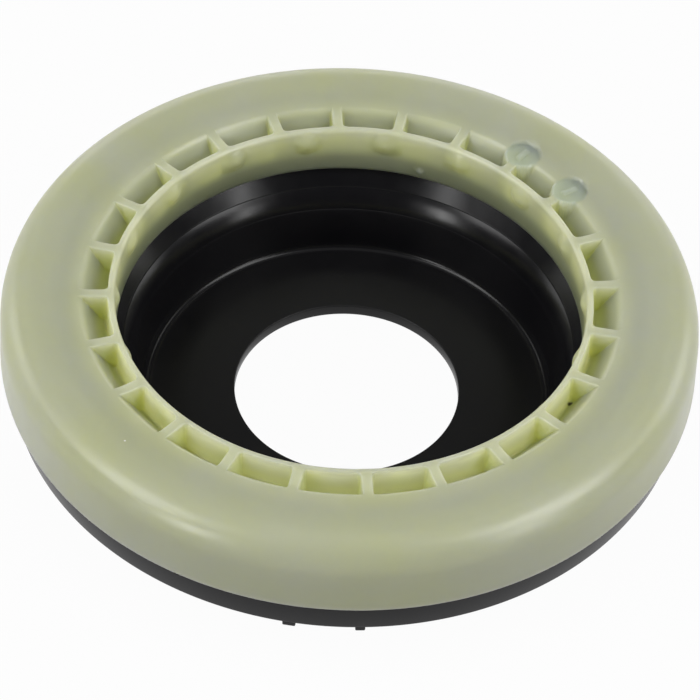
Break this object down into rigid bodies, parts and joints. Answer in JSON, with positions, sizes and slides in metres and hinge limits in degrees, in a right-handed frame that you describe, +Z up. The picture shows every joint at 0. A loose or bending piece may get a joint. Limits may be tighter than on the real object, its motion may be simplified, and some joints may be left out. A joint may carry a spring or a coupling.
{
  "type": "suspension strut mount bearing",
  "caption": "Round strut mount: a pale moulded ring that turns on a black spring-seat cup over a hidden ball row, with ribbed pockets, snap lugs and a round centre hole.",
  "frame": {"origin": "on the axis, at the underside of the cup that the part stands on", "axes": "+Z up along the strut's axis, +X right and +Y away from the front"},
  "size_m": [0.14, 0.14, 0.0324],
  "materials": {
    "natural_nylon": "natural glass-filled nylon, satin, pale greenish cream",
    "black_nylon": "black glass-filled nylon, satin",
    "bearing_steel": "hardened steel, greased",
    "cage_nylon": "brown glass-filled nylon",
    "seal_rubber": "black rubber"
  },
  "bodies": {
    "lower": {"lower_housing": "black_nylon", "lower_race": "bearing_steel", "inner_seal": "seal_rubber", "outer_seal": "seal_rubber"},
    "upper": {"upper_housing": "natural_nylon", "upper_race": "bearing_steel"},
    "cage": {"ball_cage": "cage_nylon", "ball_01": "bearing_steel", "ball_02": "bearing_steel", "ball_03": "bearing_steel", "ball_04": "bearing_steel", "ball_05": "bearing_steel", "ball_06": "bearing_steel", "ball_07": "bearing_steel", "ball_08": "bearing_steel", "ball_09": "bearing_steel", "ball_10": "bearing_steel", "ball_11": "bearing_steel", "ball_12": "bearing_steel", "ball_13": "bearing_steel", "ball_14": "bearing_steel", "ball_15": "bearing_steel", "ball_16": "bearing_steel", "ball_17": "bearing_steel", "ball_18": "bearing_steel", "ball_19": "bearing_steel", "ball_20": "bearing_steel", "ball_21": "bearing_steel", "ball_22": "bearing_steel", "ball_23": "bearing_steel", "ball_24": "bearing_steel", "ball_25": "bearing_steel", "ball_26": "bearing_steel", "ball_27": "bearing_steel", "ball_28": "bearing_steel", "ball_29": "bearing_steel", "ball_30": "bearing_steel", "ball_31": "bearing_steel", "ball_32": "bearing_steel", "ball_33": "bearing_steel", "ball_34": "bearing_steel", "ball_35": "bearing_steel", "ball_36": "bearing_steel"}
  },
  "joints": [
    {"name": "upper_turn", "type": "hinge", "parent": "lower", "child": "upper", "pos_m": [0, 0, 0.02635], "axis": [0, 0, 1], "continuous": true},
    {"name": "cage_turn", "type": "hinge", "parent": "lower", "child": "cage", "pos_m": [0, 0, 0.02635], "axis": [0, 0, 1], "continuous": true}
  ],
  "couplings": [
    {"joint": "cage_turn", "follows": "upper_turn", "ratio": 0.4834}
  ]
}
